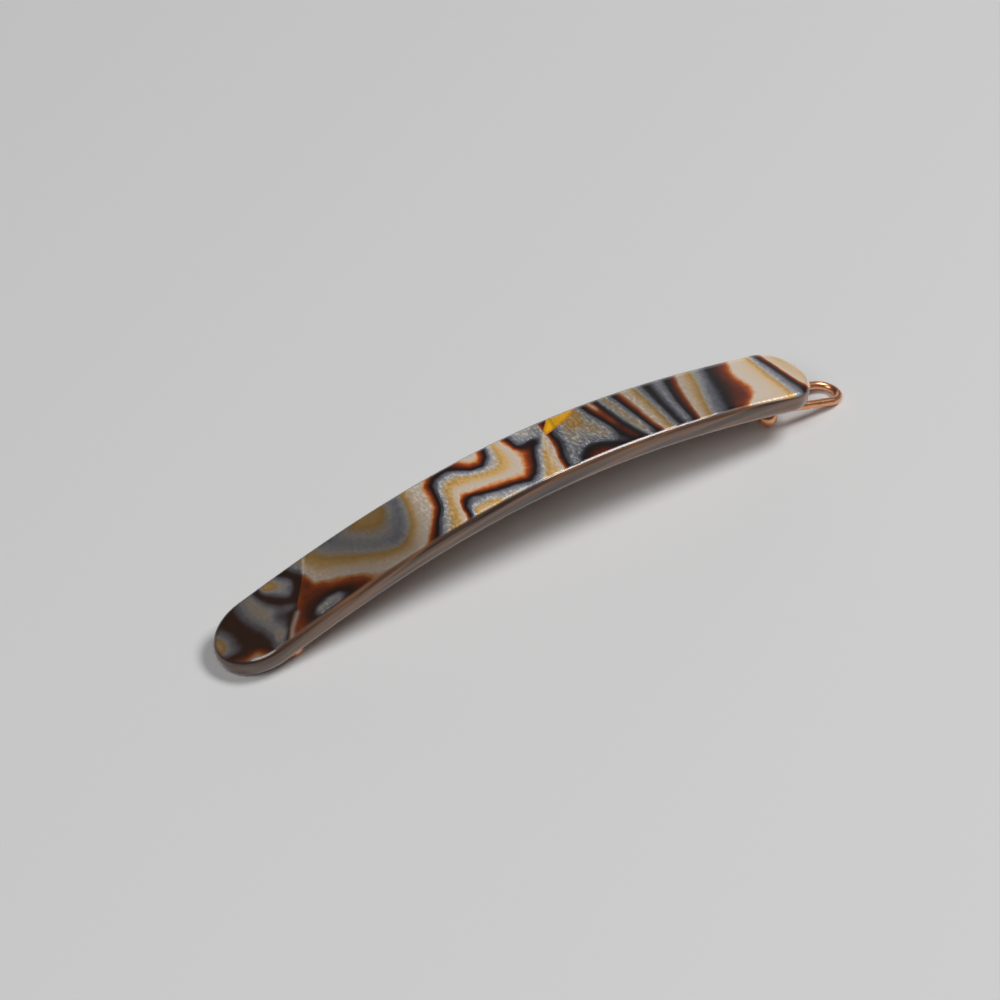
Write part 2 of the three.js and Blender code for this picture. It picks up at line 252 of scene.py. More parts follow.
MIDDLE_REGION = [
    (0.04, [(-33.9, 2.3), (-33.6, 0.4), (-31.7, -0.8), (-29.4, -2.1), (-27.3, -3.5), (-26.6, -4.7)]),
    (0.11, [(-34.4, 1.2), (-34.2, -0.4), (-32.2, -1.8), (-29.6, -3.0), (-28.1, -4.2)]),
    (0.11, [(-38.4, -2.6), (-36.8, -1.2), (-35.6, 0.3)]),
    (0.11, [(-40.2, -4.6), (-38.6, -3.9)]),
    (0.20, [(-37.3, -3.6), (-35.8, -2.4), (-33.4, -2.2), (-31.2, -2.9), (-29.8, -4.2)]),
    (0.30, [(-36.4, -4.0), (-35.4, -3.1), (-33.6, -2.8), (-31.8, -3.2), (-30.9, -4.2)]),
    (0.58, [(-35.4, -3.9), (-33.8, -3.7), (-32.2, -3.9)]),
    (0.28, [(-36.0, -5.0), (-33.5, -5.0), (-31.0, -4.9)]),
    (-0.06, [(-33.0, 1.8), (-32.5, 0.7), (-30.7, -0.3), (-28.4, -1.6), (-26.2, -3.2)]),
    (-0.22, [(-32.0, 3.4), (-31.4, 2.3), (-29.4, 1.0), (-26.9, -0.8), (-25.3, -1.9), (-23.8, -2.8),
             (-21.3, -3.5), (-19.7, -3.1), (-17.7, -1.2), (-16.7, 1.0), (-16.0, 3.5), (-15.8, 4.9)]),
    (-0.04, [(-25.2, -4.0), (-22.5, -4.8)]),
    (-0.04, [(-18.3, -4.2), (-16.5, -1.6), (-15.2, 1.6), (-14.6, 3.6), (-14.2, 4.9)]),
    (-0.30, [(-32.0, 4.8), (-31.0, 4.2)]),
    (-0.48, [(-29.5, 4.6), (-27.2, 2.6), (-25.4, 1.2), (-23.8, -0.4), (-21.3, -1.9), (-19.9, -1.5),
             (-18.5, 0.2), (-17.5, 2.4), (-16.9, 4.6)]),
    (-0.27, [(-23.8, 4.4), (-21.9, 3.2), (-20.0, 4.0)]),
    (-0.42, [(-22.5, 0.9), (-21.0, 0.7)]),
    (0.27, [(-16.2, -4.6), (-14.6, -2.3), (-13.1, -0.6), (-12.5, 1.6), (-12.1, 3.4), (-11.0, 4.4),
            (-8.8, 4.7), (-7.3, 3.6), (-6.0, 2.6), (-4.4, 2.3), (-3.1, 3.4), (-2.5, 4.9)]),
    (0.10, [(-17.0, -4.4), (-15.2, -2.2), (-13.7, -0.3), (-13.1, 1.8), (-12.8, 3.8), (-11.6, 5.0)]),
    (0.10, [(-6.9, 4.6), (-5.8, 3.4), (-4.5, 3.1), (-3.7, 3.9), (-3.4, 4.9)]),
    (0.00, [(-5.9, 4.8), (-4.9, 4.0), (-4.2, 4.8)]),
    (0.58, [(-14.4, -4.4), (-13.3, -2.6), (-12.1, -0.4), (-11.5, 1.8), (-10.6, 3.0), (-8.6, 3.2),
            (-6.6, 1.9), (-4.6, 1.3), (-2.9, 1.6), (-1.9, 3.4), (-1.7, 4.9)]),
    (0.78, [(-12.3, -4.2), (-11.6, -2.3), (-11.1, -0.3), (-10.5, 1.0), (-9.7, 1.4), (-7.7, 1.1),
            (-5.5, 0.4), (-3.8, -0.2), (-2.1, -0.1), (-1.2, 0.9), (-0.9, 2.4), (-0.8, 4.6)]),
    (0.99, [(-10.3, -0.6), (-9.6, 0.3), (-7.7, -0.3), (-5.0, -0.9), (-2.4, -1.4), (-0.4, -1.2), (0.3, 0.4),
            (0.2, 2.6), (-0.1, 4.5)]),
    (1.09, [(-10.9, -3.0), (-10.3, -1.4), (-9.3, -0.9), (-7.2, -1.4), (-4.9, -2.1), (-2.4, -2.6),
            (-0.6, -3.0), (0.5, -1.9), (1.3, -0.4), (1.8, 1.0), (1.1, 2.4), (0.6, 4.6)]),
    (1.28, [(-10.6, -4.5), (-10.3, -2.8), (-9.5, -1.8), (-8.6, -1.6), (-7.2, -2.2), (-4.9, -2.9),
            (-2.4, -3.4), (-0.4, -4.0), (0.9, -3.2), (1.8, -2.0), (2.6, -0.3), (3.4, 1.1), (4.4, 2.0)]),
    (1.30, [(1.6, 2.8), (1.4, 4.7)]),
    (1.28, [(2.6, 2.2), (3.6, 2.4)]),
    (1.55, [(3.2, 3.9), (4.4, 3.6), (5.2, 4.7)]),
    (1.50, [(-9.2, -3.2), (-6.8, -3.2), (-4.8, -3.9)]),
    (1.78, [(-9.4, -4.3), (-8.0, -4.3)]),
    (1.58, [(-5.0, -4.6), (-3.4, -4.5)]),
    (1.58, [(1.2, -4.7), (2.4, -3.0), (3.2, -1.4), (4.0, 0.2)]),
    (1.85, [(4.0, -4.0), (4.2, -2.2)]),
]

LOOP_REGION = [
    (1.92, [(4.9, -2.0), (5.3, -0.4), (5.7, 1.0)]),
    (2.10, [(5.0, -4.4), (5.3, -2.6), (6.1, -0.8), (6.4, 0.8), (6.5, 1.7)]),
    (2.28, [(5.6, -4.4), (6.0, -2.6), (6.9, -0.5), (7.2, 0.9), (7.0, 1.6)]),
    (2.50, [(6.9, -4.2), (7.5, -2.4), (8.0, -0.3), (8.0, 1.2), (8.6, 2.4)]),
    (2.58, [(9.5, -1.0), (10.5, 0.5)]),
    (2.68, [(9.8, 2.2), (10.8, 1.6)]),
    (2.60, [(13.2, 4.0), (12.8, 2.0), (13.6, 0.4), (14.2, -1.8)]),
    (2.26, [(8.2, -4.5), (9.4, -3.5), (10.6, -3.1), (12.3, -3.5), (13.9, -4.2)]),
    (2.40, [(7.9, -3.5), (9.2, -2.5), (10.6, -2.1), (12.3, -2.5), (14.0, -3.3)]),
    (2.30, [(13.8, 4.8), (14.2, 2.9), (14.8, 1.1), (15.3, -0.9), (15.4, -2.8), (15.9, -4.4)]),
    (2.10, [(14.5, 4.8), (15.0, 3.0), (15.6, 1.4), (16.0, -0.2)]),
    (2.17, [(16.2, -1.6), (16.5, -3.2)]),
    (2.02, [(15.3, 4.8), (15.6, 3.4)]),
    (2.27, [(16.2, 4.7), (16.6, 2.0), (17.1, -0.9), (17.8, -3.1), (18.2, -4.4)]),
    (2.66, [(17.5, 4.7), (18.0, 2.4), (18.7, -0.9), (19.1, -3.4)]),
    (2.28, [(19.2, 4.7), (19.6, 1.9), (20.0, -0.9), (20.5, -4.4)]),
    (2.10, [(20.0, 4.7), (20.4, 2.0), (20.6, -0.6), (21.0, -3.6)]),
    (1.98, [(21.0, 4.7), (21.3, 1.5), (21.4, -1.2), (21.8, -4.4)]),
    (1.78, [(22.3, 4.7), (22.5, 1.0), (22.5, -4.2)]),
    (1.50, [(23.6, 4.6), (23.7, 0.0), (23.7, -4.2)]),
    (1.28, [(24.9, 4.7), (24.6, 2.0), (24.5, -0.8), (24.5, -4.4)]),
    (1.50, [(27.0, 4.7), (26.6, 2.4), (26.2, -0.4), (25.9, -4.1)]),
    (1.30, [(28.2, 4.7), (27.6, 2.4), (27.0, -0.4), (26.8, -4.2)]),
    (1.14, [(29.4, 4.7), (28.7, 2.6), (28.0, -0.4), (27.5, -4.2)]),
    (0.98, [(30.6, 4.8), (30.0, 3.3), (29.2, 0.5), (28.4, -3.1)]),
    (0.78, [(32.0, 4.7), (31.4, 2.1), (30.5, -0.4), (29.4, -3.9)]),
    (0.50, [(34.0, 4.7), (33.2, 2.4), (32.4, 0.4), (31.2, -2.9), (30.7, -4.6)]),
    (0.34, [(35.2, 4.7), (34.8, 3.0), (34.2, 1.0), (33.6, -1.2), (32.6, -4.4)]),
    (0.20, [(36.9, 4.7), (36.3, 2.8), (36.1, 0.8), (35.3, -1.7), (34.0, -4.4)]),
    (0.10, [(39.0, 4.7), (38.2, 3.0), (37.9, 1.0), (38.4, -1.2), (37.8, -3.1), (35.9, -4.6)]),
    (0.00, [(40.0, 4.7), (39.0, 2.4), (39.2, 1.0), (39.9, -0.8), (39.5, -2.8), (37.2, -4.6)]),
    (-0.06, [(41.2, 4.2), (41.0, 1.0), (41.4, -2.0), (40.6, -4.4)]),
    (-0.22, [(42.8, 4.6), (43.0, 1.0), (43.4, -1.5), (43.7, -4.4)]),
    (-0.48, [(43.8, 4.6), (44.2, 1.6), (44.6, -1.2), (44.9, -3.8)]),
    (-0.75, [(44.6, 4.8), (45.3, 2.6), (45.8, 0.4), (46.2, -1.6), (46.7, -3.6)]),
    (-1.00, [(45.8, 4.4), (46.3, 2.2), (46.9, -0.6), (47.4, -2.6)]),
    (-1.15, [(47.0, 3.4), (47.8, 0.8), (48.2, -1.2)]),
    (-1.10, [(49.0, 2.0), (49.4, 0.0)]),
]

# Brightness of the whole pattern along the bar, its dark bands too: (s, tone). Partly the pearl's own
# brightness, partly painted light: it was matched to one lighting, so it holds that light's fall-off
# and a painted sheen, brightest in the middle and towards the loop end.
PEARL_TONE_AND_PAINTED_LIGHT = [(-50, 0.58), (-44, 0.52), (-38, 0.72), (-34, 0.6), (-28, 0.45), (-20, 0.42),
              (-16, 0.68), (-12, 1.1), (-7, 1.35), (-1, 1.35), (4, 1.05), (8, 0.66), (14, 0.62),
              (20, 0.64), (30, 0.68), (36, 0.98), (40, 1.28), (46, 1.15), (50, 1.1)]

# The same for the whole underside: painted shade, kept dark so that it throws little light on the floor.
UNDERSIDE_TONE = 0.3

# How much brown haze lies over the pattern along the bar: (s, amount).
BROWN_HAZE = [(-50, 0.28), (-40, 0.24), (-34, 0.16), (-20, 0.1), (-14, 0.0), (50, 0.0)]

# Towards the loop end the face's pattern wraps further over the rounded edge, by nothing at the
# first of these places along the bar and by WRAP_AMOUNT from the second on.
WRAP_START = (34, 44)
WRAP_AMOUNT = 0.4

# How crinkled the pearl is along the bar: (s, amount).
PEARL_CRINKLE = [(-50, 0.1), (-37, 0.15), (-34, 0.5), (-31, 0.15), (-17, 0.15), (-13, 0.8),
                 (-4, 0.5), (5, 0.6), (7, 1.0), (19, 0.6), (30, 0.2), (37, 0.35), (43, 0.35),
                 (50, 0.1)]

# The one patch of clear amber: a thin wedge beside the middle fault.
AMBER_WEDGE = [(6.3, 2.2), (6.4, 3.4), (7.6, 4.6), (8.2, 5.4), (13.8, 5.4), (11.4, 3.9), (9.2, 3.0)]

# A short scratch across the loop region's bands, drawn only as a painted highlight where light catches on
# it.
SCRATCH = [(19.3, -2.1), (19.5, -1.5)]

# Painted highlights: thin bright lines where light catches on a fault or a scratch, painted into the
# colour: (line, strength, half-width).
GLINTS = [
    (HINGE_FAULT[:3], 0.25, 0.34),
    (HINGE_FAULT[5:], 0.45, 0.22),
    (MIDDLE_FAULT[2:5], 1.0, 0.22),
    (SCRATCH, 0.8, 0.13),
]


def dense_line(points, spacing=0.7):
    """A polyline with points added so that none are further apart than spacing."""
    points = np.array(points, float)
    rows = [points[:1]]
    for a, b in zip(points, points[1:]):
        steps = max(1, int(np.ceil(np.linalg.norm(b - a) / spacing)))
        rows.append(a + (b - a) * (np.arange(1, steps + 1) / steps)[:, None])
    return np.concatenate(rows)


def thin_plate(r2):
    return 0.5 * r2 * np.log(r2 + 1e-9)


class LevelField:
    """Smooth surface through the levels of one region: a thin-plate spline."""

    SMOOTHING = 0.02

    def __init__(self, lines):
        self.points = np.concatenate([dense_line(line) for _, line in lines])
        levels = np.concatenate([[level] * len(dense_line(line)) for level, line in lines])
        count = len(self.points)
        plane = np.column_stack([np.ones(count), self.points])
        system = np.zeros((count + 3, count + 3))
        system[:count, :count] = self.kernel(self.points) + self.SMOOTHING * np.eye(count)
        system[:count, count:] = plane
        system[count:, :count] = plane.T
        self.weights = np.linalg.solve(system, np.concatenate([levels, np.zeros(3)]))

    def kernel(self, places):
        return thin_plate(((places[:, None] - self.points[None]) ** 2).sum(-1))

    def __call__(self, places):
        plane = np.column_stack([np.ones(len(places)), places])
        return np.concatenate([
            np.column_stack([self.kernel(part), flat]) @ self.weights
            for part, flat in zip(np.array_split(places, 20), np.array_split(plane, 20))
        ])


def line_distance(places, line):
    """Distance of each place from a polyline."""
    line = np.array(line, float)
    best = np.full(len(places), np.inf)
    for a, b in zip(line, line[1:]):
        along = np.clip(((places - a) @ (b - a)) / ((b - a) @ (b - a)), 0, 1)
        best = np.minimum(best, np.linalg.norm(places - a - along[:, None] * (b - a), axis=1))
    return best


def fault_side(places, fault):
    """Signed distance along the bar past a fault line, which runs from low to high y."""
    fault = np.array(fault, float)
    return places[:, 0] - np.interp(places[:, 1], fault[:, 1], fault[:, 0])


def inside_polygon(places, polygon):
    inside = np.zeros(len(places), bool)
    for (xa, ya), (xb, yb) in zip(polygon, polygon[1:] + polygon[:1]):
        crosses = (ya > places[:, 1]) != (yb > places[:, 1])
        edge = xa + (places[:, 1] - ya) * (xb - xa) / ((yb - ya) or 1e-9)
        inside ^= crosses & (places[:, 0] < edge)
    return inside


# The sheet was cut a little askew: its own axes against the bar's.
PATTERN_SHIFT = (-0.12, 0.09)
PATTERN_LEAN = -0.043
PATTERN_SCALE = 0.974


def marble(places):
    """The sheet's fields at places (s, y) of the bar, by attribute name."""
    along = places[:, 0] + PATTERN_SHIFT[0] + PATTERN_LEAN * places[:, 1]
    places = np.column_stack([along, PATTERN_SHIFT[1] + PATTERN_SCALE * places[:, 1]])
    edge = line_distance(places, AMBER_WEDGE + AMBER_WEDGE[:1])
    glints = [strength * np.exp(-(line_distance(places, line) / width) ** 2)
              for line, strength, width in GLINTS]
    return {
        "level_hinge": LevelField(HINGE_REGION)(places),
        "level_middle": LevelField(MIDDLE_REGION)(places),
        "level_loop": LevelField(LOOP_REGION)(places),
        "past_hinge_fault": fault_side(places, HINGE_FAULT),
        "past_middle_fault": fault_side(places, MIDDLE_FAULT),
        # painted light: the pearl's own brightness with one lighting's fall-off and sheen in it
        "tone_and_painted_light": np.interp(places[:, 0], *np.array(PEARL_TONE_AND_PAINTED_LIGHT, float).T),
        "haze": np.interp(places[:, 0], *np.array(BROWN_HAZE, float).T),
        "crinkle": np.interp(places[:, 0], *np.array(PEARL_CRINKLE, float).T),
        "amber": np.where(inside_polygon(places, AMBER_WEDGE), 1, -1) * edge,
        "glint": np.maximum.reduce(glints),
    }


# ---- Bar ---------------------------------------------------------------------------------------------

STATION_GAP = 0.22
END_STATIONS = 22
ACROSS_STEPS = 40
EDGE_STEPS = 6
WALL_STEPS = 4


def stations(inset):
    """(s, half-width) pairs of the outline pulled in by inset, from the hinge end to the loop end."""
    hinge_straight = HINGE_END_ROUND - BAR_LENGTH / 2
    loop_straight = BAR_LENGTH / 2 - LOOP_END_ROUND
    half_width = BAR_WIDTH / 2 - inset
    angles = np.linspace(0, np.pi / 2, END_STATIONS + 1)
    hinge_s = hinge_straight - (HINGE_END_ROUND - inset) * np.sin(angles)
    loop_s = loop_straight + (LOOP_END_ROUND - inset) * np.sin(angles)
    side_count = int((loop_straight - hinge_straight) / STATION_GAP)
    side_s = np.linspace(hinge_straight, loop_straight, side_count + 1)[1:-1]
    s = np.concatenate([hinge_s[::-1], side_s, loop_s])
    w = half_width * np.concatenate([np.cos(angles[::-1]), np.ones(len(side_s)), np.cos(angles)])
    w[[0, -1]] = 0
    return s, w


def outline_points(inset, depth):
    s, w = stations(inset)
    return np.concatenate([bar_point(s, w, depth), bar_point(s, -w, depth)])


def bar_sheet():
    """Flat places (s, y, depth), faces and the share of edge wall of every vertex of the bar."""
    flat, wall, faces = [], [], []

    def add(s, y, depth, edge):
        flat.append((s, y, depth))
        wall.append(edge)
        return len(flat) - 1

    def face_grid(depth):
        """Rows across one face. The two tips are single vertices, repeated along their rows."""
        s, w = stations(EDGE_RADIUS)
        rows = []
        for place, half in zip(s, w):
            if half == 0:
                rows.append([add(place, 0, depth, 0)] * (ACROSS_STEPS + 1))
                continue
            across = np.linspace(-1, 1, ACROSS_STEPS + 1)
            rows.append([add(place, half * v, depth, 0) for v in across])
        for a, b in zip(rows, rows[1:]):
            for quad in strip_faces(a, b, False):
                corners = tuple(dict.fromkeys(quad))
                faces.append(corners)
        return [row[-1] for row in rows] + [row[0] for row in rows[-2:0:-1]]

    def ring(inset, depth, edge):
        s, w = stations(inset)
        far = [add(a, b, depth, edge) for a, b in zip(s, w)]
        near = [add(a, -b, depth, edge) for a, b in zip(s[-2:0:-1], w[-2:0:-1])]
        return far + near

    rings = [face_grid(0)]
    turns = np.linspace(0, np.pi / 2, EDGE_STEPS + 1)[1:]
    for a in turns:
        depth = EDGE_RADIUS * (1 - math.cos(a))
        rings.append(ring(EDGE_RADIUS * (1 - math.sin(a)), depth, math.sin(a) ** 2))
    for depth in np.linspace(EDGE_RADIUS, BAR_THICKNESS - EDGE_RADIUS, WALL_STEPS + 1)[1:]:
        rings.append(ring(0, depth, 1))
    for a in turns[::-1][1:]:
        depth = BAR_THICKNESS - EDGE_RADIUS * (1 - math.cos(a))
        rings.append(ring(EDGE_RADIUS * (1 - math.sin(a)), depth, math.sin(a) ** 2))
    rings.append(face_grid(BAR_THICKNESS))
    for a, b in zip(rings, rings[1:]):
        faces.extend(strip_faces(a, b, True))
    return np.array(flat), np.array(wall), faces


def set_attribute(mesh, name, kind, values):
    attribute = mesh.attributes.new(name, kind, "POINT")
    field = "vector" if kind == "FLOAT_VECTOR" else "value"
    attribute.data.foreach_set(field, np.asarray(values, np.float32).ravel())


def make_bar(matrix):
    flat, wall, faces = bar_sheet()
    points = bar_point(flat[:, 0], flat[:, 1], flat[:, 2])
    bar = mesh_object("acetate_bar", points, faces, matrix)
    under = flat[:, 2] > BAR_THICKNESS / 2
    places = flat[:, :2].copy()
    places[under, 0] *= -1
    fields = marble(places)
    # the underside's darker tone is painted shade
    fields["tone_and_painted_light"] = np.where(under, UNDERSIDE_TONE, fields["tone_and_painted_light"])
    for name, values in fields.items():
        set_attribute(bar.data, name, "FLOAT", values)
    past_shoulder = np.interp(flat[:, 0], WRAP_START, (0, WRAP_AMOUNT))
    set_attribute(bar.data, "wall", "FLOAT", wall - past_shoulder)
    set_attribute(bar.data, "flat", "FLOAT_VECTOR", flat)
    return finish_piece(bar, "bar", "bar", acetate_material())


# ---- Wire loop ---------------------------------------------------------------------------------------

def wire_drop(s):
    """How far the wire's centre line hangs below the underside."""
    return float(np.interp(s, (HINGE_S, LATCH_S, NOSE_S), (PIVOT_DROP, LATCH_DROP, NOSE_DROP)))


def wire_path():
    """The wire's centre line, from one turned-out end, in to the leg, round the nose and back."""
    bend_y = PIVOT_LEG_OFFSET + BEND_RADIUS
    leg_start = HINGE_S + BEND_RADIUS
    nose_start = NOSE_S - NOSE_ROUND
    places = [(HINGE_S, y) for y in np.linspace(TURNED_END_Y, bend_y, 4)[:-1]]
    for a in np.linspace(0, np.pi / 2, 13):
        places.append((HINGE_S + BEND_RADIUS * (1 - math.cos(a)), bend_y - BEND_RADIUS * math.sin(a)))
    for s in np.linspace(leg_start, LATCH_S, 61)[1:]:
        places.append((s, np.interp(s, (leg_start, LATCH_S), (PIVOT_LEG_OFFSET, NOSE_LEG_OFFSET))))
    places += [(s, NOSE_LEG_OFFSET) for s in np.linspace(LATCH_S, nose_start, 9)[1:-1]]
    for a in np.linspace(0, np.pi / 2, 25):
        places.append((nose_start + NOSE_ROUND * math.sin(a), NOSE_LEG_OFFSET * math.cos(a)))
    half = [bar_point(s, y, BAR_THICKNESS + wire_drop(s)) for s, y in places]
    mirrored = [p * np.array([1, -1, 1]) for p in half[-2::-1]]
    return np.array(half + mirrored)


def make_wire(matrix, sides=20):
    path = wire_path()
    steps = np.diff(path, axis=0)
    steps /= np.linalg.norm(steps, axis=1)[:, None]
    tangents = np.concatenate([steps[:1], steps[:-1] + steps[1:], steps[-1:]])
    tangents /= np.linalg.norm(tangents, axis=1)[:, None]
    aside = np.cross([0, 0, 1], tangents)
    aside /= np.linalg.norm(aside, axis=1)[:, None]
    lift = np.cross(tangents, aside)
    angles = 2 * np.pi * np.arange(sides) / sides

    def ring(centre, i, radius):
        return [centre + radius * (math.cos(a) * aside[i] + math.sin(a) * lift[i]) for a in angles]

    def end_rings(i, inward):
        """Three rings that round off one end of the wire, from its end face inwards."""
        rounded = []
        for a in (0, np.pi / 4, np.pi / 2):
            inset = WIRE_END_ROUND * (1 - math.sin(a))
            back = WIRE_END_ROUND * (1 - math.cos(a))
            rounded.append(ring(path[i] + inward * back * tangents[i], i, WIRE_RADIUS - inset))
        return rounded

    middle = [ring(path[i], i, WIRE_RADIUS) for i in range(1, len(path) - 1)]
    rings = end_rings(0, 1) + middle + end_rings(-1, -1)[::-1]
    rows = [[r * sides + k for k in range(sides)] for r in range(len(rings))]
    faces = [face for a, b in zip(rows, rows[1:]) for face in strip_faces(a, b, True)]
    faces += [tuple(rows[0]), tuple(rows[-1][::-1])]
    wire = mesh_object("clasp_wire", np.concatenate(rings), faces, matrix)
    metal = metal_material("rose_gold_wire", WIRE_ROUGHNESS, WIRE_CLOUD)
    return finish_piece(wire, "wire", "wire_loop", metal)


# ---- Hinge and stud ----------------------------------------------------------------------------------

def extruded(outline, start, end, place):
    """Closed solid: an outline of (u, v) points swept from start to end. place(u, v, w) is a point."""
    count = len(outline)
    points = [place(u, v, w) for w in (start, end) for u, v in outline]
    faces = strip_faces(list(range(count)), list(range(count, 2 * count)), True)
    faces += [tuple(range(count))[::-1], tuple(range(count, 2 * count))]
    return points, faces


def along_bar(u, v, w):
    return (w, u, v)


def across_bar(u, v, w):
    return (u, w, v)


def through_bar(u, v, w):
    return (u, v, w)


def channel_section():
    """The bracket across the bar, (y, z): base up against the bar and an ear down each side."""
    outer = EAR_INNER_Y + STRIP_THICKNESS
    foot = PIVOT_DROP + EAR_RADIUS
    fold_outer = FOLD_RADIUS + STRIP_THICKNESS
    fold_y = EAR_INNER_Y - FOLD_RADIUS
    fold_z = PLATE_GAP + fold_outer
    outside = [(outer, foot)] + arc((fold_y, fold_z), fold_outer, 0, -np.pi / 2, 8)
    inside = [(EAR_INNER_Y, foot)] + arc((fold_y, fold_z), FOLD_RADIUS, 0, -np.pi / 2, 6)
    return (outside + [(-y, z) for y, z in outside[::-1]]
            + [(-y, z) for y, z in inside] + inside[::-1])


def ear_outline():
    """The bracket from the side, (x, z): each ear narrows to a round lobe about the pivot."""
    lobe = arc((0, PIVOT_DROP), EAR_RADIUS, -EAR_LEAN, math.pi - 2 * EAR_LEAN, 28)
    return ([(BRACKET_BACK, -1), (BRACKET_FRONT, -1), (BRACKET_FRONT, EAR_SHOULDER)] + lobe
            + [(BRACKET_BACK, EAR_SHOULDER)])


def circle(x, z, radius, sides=40):
    return arc((x, z), radius, 0, 2 * math.pi * (1 - 1 / sides), sides - 1)


def boolean(piece, cutter, operation):
    """Cut piece by cutter, then throw the cutter away."""
    step = piece.modifiers.new("cut", "BOOLEAN")
    step.operation = operation
    step.solver = "EXACT"
    step.object = cutter
    apply_modifiers(piece)
    bpy.data.objects.remove(cutter)


def apply_modifiers(piece):
    shaped = bpy.data.meshes.new_from_object(piece.evaluated_get(bpy.context.evaluated_depsgraph_get()))
    piece.modifiers.clear()
    piece.data = shaped


def make_bracket(matrix):
    """The folded channel, trimmed to its side outline, drilled, and softened along every edge."""
    seat = matrix @ underside_seat(HINGE_S)
    wide = EAR_INNER_Y + 2
    channel = extruded(channel_section(), BRACKET_BACK - 1, BRACKET_FRONT + 1, along_bar)
    bracket = mesh_object("folded_bracket", *channel, seat)
    trim = mesh_object("trim", *extruded(ear_outline(), -wide, wide, across_bar), seat)
    boolean(bracket, trim, "INTERSECT")
    pivot = extruded(circle(0, PIVOT_DROP, PIVOT_HOLE_RADIUS), -wide, wide, across_bar)
    boolean(bracket, mesh_object("pivot_hole", *pivot, seat), "DIFFERENCE")
    for x in RIVET_PLACES:
        hole = extruded(circle(x, 0, SHANK_RADIUS + HOLE_CLEARANCE), -1, 1, through_bar)
        boolean(bracket, mesh_object("rivet_hole", *hole, seat), "DIFFERENCE")
    soften = bracket.modifiers.new("soften", "BEVEL")
    soften.width = BRACKET_SOFTENING * MM
    soften.segments = 3
    soften.limit_method = "ANGLE"
    soften.angle_limit = BRACKET_SHARPEST
    apply_modifiers(bracket)
    bracket.data.materials.clear()
    for face in bracket.data.polygons:
        face.use_smooth = True
    bracket.data.set_sharp_from_angle(angle=BRACKET_CREASE)
    metal = metal_material("rose_gold_bracket", FITTING_ROUGHNESS, FITTING_CLOUD)
    return finish_piece(bracket, "bar", "hinge_bracket", metal)


def make_rivet(index, matrix):
    base = PLATE_GAP + STRIP_THICKNESS + SEAT_GAP
    profile = [(0, -SHANK_DEPTH), (SHANK_RADIUS - SHANK_CHAMFER, -SHANK_DEPTH),
               (SHANK_RADIUS, SHANK_CHAMFER - SHANK_DEPTH), (SHANK_RADIUS, base),
               (RIVET_HEAD_RADIUS - RIVET_SOFTENING, base),
               (RIVET_HEAD_RADIUS, base + RIVET_SOFTENING), (RIVET_HEAD_RADIUS, base + RIVET_RIM)]
    for a in np.linspace(0, np.pi / 2, 9)[1:]:
        height = base + RIVET_RIM + (RIVET_HEAD_HEIGHT - RIVET_RIM) * math.sin(a)
        profile.append((RIVET_HEAD_RADIUS * math.cos(a), height))
    profile[-1] = (0, profile[-1][1])
    name = f"hinge_rivet_{index + 1}"
    seat = matrix @ underside_seat(HINGE_S) @ Matrix.Translation((RIVET_PLACES[index], 0, 0))
    rivet = turned_piece(f"domed_rivet_{index + 1}", profile, seat, 32)
    metal = metal_material(f"rose_gold_rivet_{index + 1}", FITTING_ROUGHNESS, FITTING_CLOUD)
    return finish_piece(rivet, "bar", name, metal)


def make_stud(matrix):
    collar_end = SEAT_GAP + COLLAR_HEIGHT
    soft = STUD_SOFTENING
    rounded = COLLAR_ROUND
    join = math.asin(NECK_RADIUS / BALL_RADIUS)
    profile = [(0, -SHANK_DEPTH), (NECK_RADIUS - SHANK_CHAMFER, -SHANK_DEPTH),
               (NECK_RADIUS, SHANK_CHAMFER - SHANK_DEPTH), (NECK_RADIUS, SEAT_GAP),
               (COLLAR_RADIUS - soft, SEAT_GAP)]
    profile += arc((COLLAR_RADIUS - soft, SEAT_GAP + soft), soft, -np.pi / 2, 0, 4)[1:]
    profile += arc((COLLAR_RADIUS - rounded, collar_end - rounded), rounded, 0, np.pi / 2, 6)
    profile += arc((NECK_RADIUS + soft, collar_end + soft), soft, -np.pi / 2, -np.pi, 4)
    for a in np.linspace(join, np.pi, 29):
        profile.append((BALL_RADIUS * math.sin(a), BALL_DROP - BALL_RADIUS * math.cos(a)))
    profile[-1] = (0, profile[-1][1])
    stud = turned_piece("ball_stud_turned", profile, matrix @ underside_seat(STUD_SEAT_S))
    metal = metal_material("rose_gold_stud", STUD_ROUGHNESS, FITTING_CLOUD)
    return finish_piece(stud, "bar", "ball_stud", metal)


# ---- Materials ---------------------------------------------------------------------------------------

def linear(r, g, b):
    """Linear colour from 0-255 display values."""
    def one(v):
        v /= 255
        return v / 12.92 if v <= 0.04045 else ((v + 0.055) / 1.055) ** 2.4
    return (one(r), one(g), one(b), 1)


